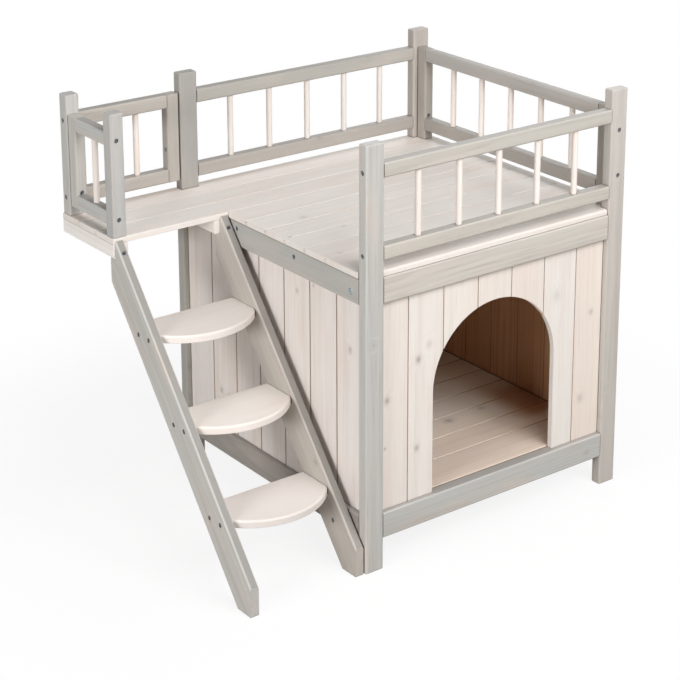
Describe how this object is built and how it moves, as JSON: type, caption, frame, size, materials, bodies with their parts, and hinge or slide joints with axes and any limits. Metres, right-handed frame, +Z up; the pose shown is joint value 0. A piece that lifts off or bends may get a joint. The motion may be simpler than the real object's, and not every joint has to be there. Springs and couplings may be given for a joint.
{
  "type": "cat house",
  "caption": "Raised boarded cat cabin with an arched doorway, a railed roof platform, a side balcony and a ladder with half-round treads.",
  "frame": {"origin": "on the ground, under the middle of the overall box of house, balcony and ladder", "axes": "+X to the right along the doorway wall and away from the ladder, +Y from the doorway to the back, +Z up; the balcony and the ladder are on the -X side and the doorway faces -Y"},
  "size_m": [0.788, 0.555, 0.73],
  "materials": {
    "post_timber": "grey stained, semi-transparent, satin",
    "rail_timber": "grey stained, semi-transparent, satin",
    "white_boards": "white washed, grain and knots showing",
    "platform_wood": "white washed, satin",
    "floor_wood": "thin white wash over pine",
    "tread_wood": "white washed, satin",
    "spindle_wood": "white washed dowel",
    "zinc_screws": "blue zinc plated"
  },
  "bodies": {
    "root": {"back_bottom_rail": "rail_timber", "back_guard_low_rail": "rail_timber", "back_guard_spindles": "spindle_wood", "back_guard_top_rail": "rail_timber", "back_header_rail": "rail_timber", "back_wall_boards": "white_boards", "balcony_back_rails": "rail_timber", "balcony_back_spindles": "spindle_wood", "balcony_back_stile": "rail_timber", "balcony_fascia_batten": "rail_timber", "balcony_plank_1": "platform_wood", "balcony_plank_2": "platform_wood", "balcony_plank_3": "platform_wood", "balcony_post_back": "post_timber", "balcony_post_front": "post_timber", "balcony_side_rails": "rail_timber", "balcony_side_spindle": "spindle_wood", "balcony_side_stile": "rail_timber", "balcony_wall_batten": "rail_timber", "floor_bearers": "floor_wood", "floor_boards": "floor_wood", "front_board_1": "white_boards", "front_board_2": "white_boards", "front_board_3": "white_boards", "front_board_4": "white_boards", "front_board_5": "white_boards", "front_board_6": "white_boards", "front_board_7": "white_boards", "front_bottom_rail": "rail_timber", "front_guard_low_rail": "rail_timber", "front_guard_spindles": "spindle_wood", "front_guard_top_rail": "rail_timber", "front_header_rail": "rail_timber", "ladder_inner_stringer": "rail_timber", "ladder_outer_stringer": "rail_timber", "ladder_tread_1": "tread_wood", "ladder_tread_2": "tread_wood", "ladder_tread_3": "tread_wood", "left_bottom_rail": "rail_timber", "left_header_rail": "rail_timber", "left_wall_boards": "white_boards", "platform_cleats": "floor_wood", "platform_front_plank": "platform_wood", "platform_plank_1": "platform_wood", "platform_plank_2": "platform_wood", "platform_plank_3": "platform_wood", "platform_plank_4": "platform_wood", "platform_plank_5": "platform_wood", "post_back_left": "post_timber", "post_back_right": "post_timber", "post_front_left": "post_timber", "post_front_right": "post_timber", "right_bottom_rail": "rail_timber", "right_guard_low_rail": "rail_timber", "right_guard_spindles": "spindle_wood", "right_guard_stiles": "rail_timber", "right_guard_top_rail": "rail_timber", "right_header_rail": "rail_timber", "right_wall_boards": "white_boards", "screw_heads": "zinc_screws"}
  },
  "joints": []
}
